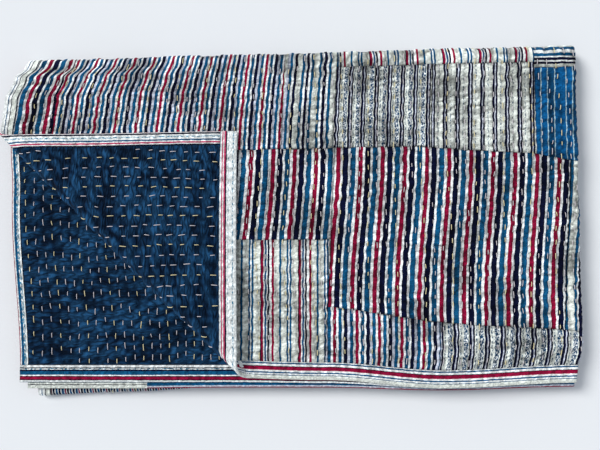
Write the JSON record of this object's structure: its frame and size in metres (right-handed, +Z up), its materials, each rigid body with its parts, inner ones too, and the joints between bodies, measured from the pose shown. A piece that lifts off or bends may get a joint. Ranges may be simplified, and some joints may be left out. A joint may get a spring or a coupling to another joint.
{
  "type": "kantha quilt",
  "caption": "Light patchwork throw quilt with running-stitch quilting and striped bound edges, folded into a low rectangular block with one corner turned back to show its plain navy underside.",
  "frame": {"origin": "on the surface it rests on, under the middle of the folded block", "axes": "+X along the block's long side towards its folded right side, +Y away from the bound near side towards the folded far side, +Z up through the layers"},
  "size_m": [0.6575, 0.4008, 0.0457],
  "materials": {
    "patchwork_cotton": "matte pieced cotton in woven-look stripes, puckered by rows of running stitch",
    "navy_cotton": "matte plain navy cotton, puckered by the same rows of stitch",
    "striped_binding": "matte striped cotton strip, folded over the edge and stitched down"
  },
  "bodies": {
    "root": {"patchwork_face": "patchwork_cotton", "plain_backing": "navy_cotton", "binding_left": "striped_binding", "binding_right": "striped_binding", "binding_foot": "striped_binding", "binding_head": "striped_binding"}
  },
  "joints": []
}
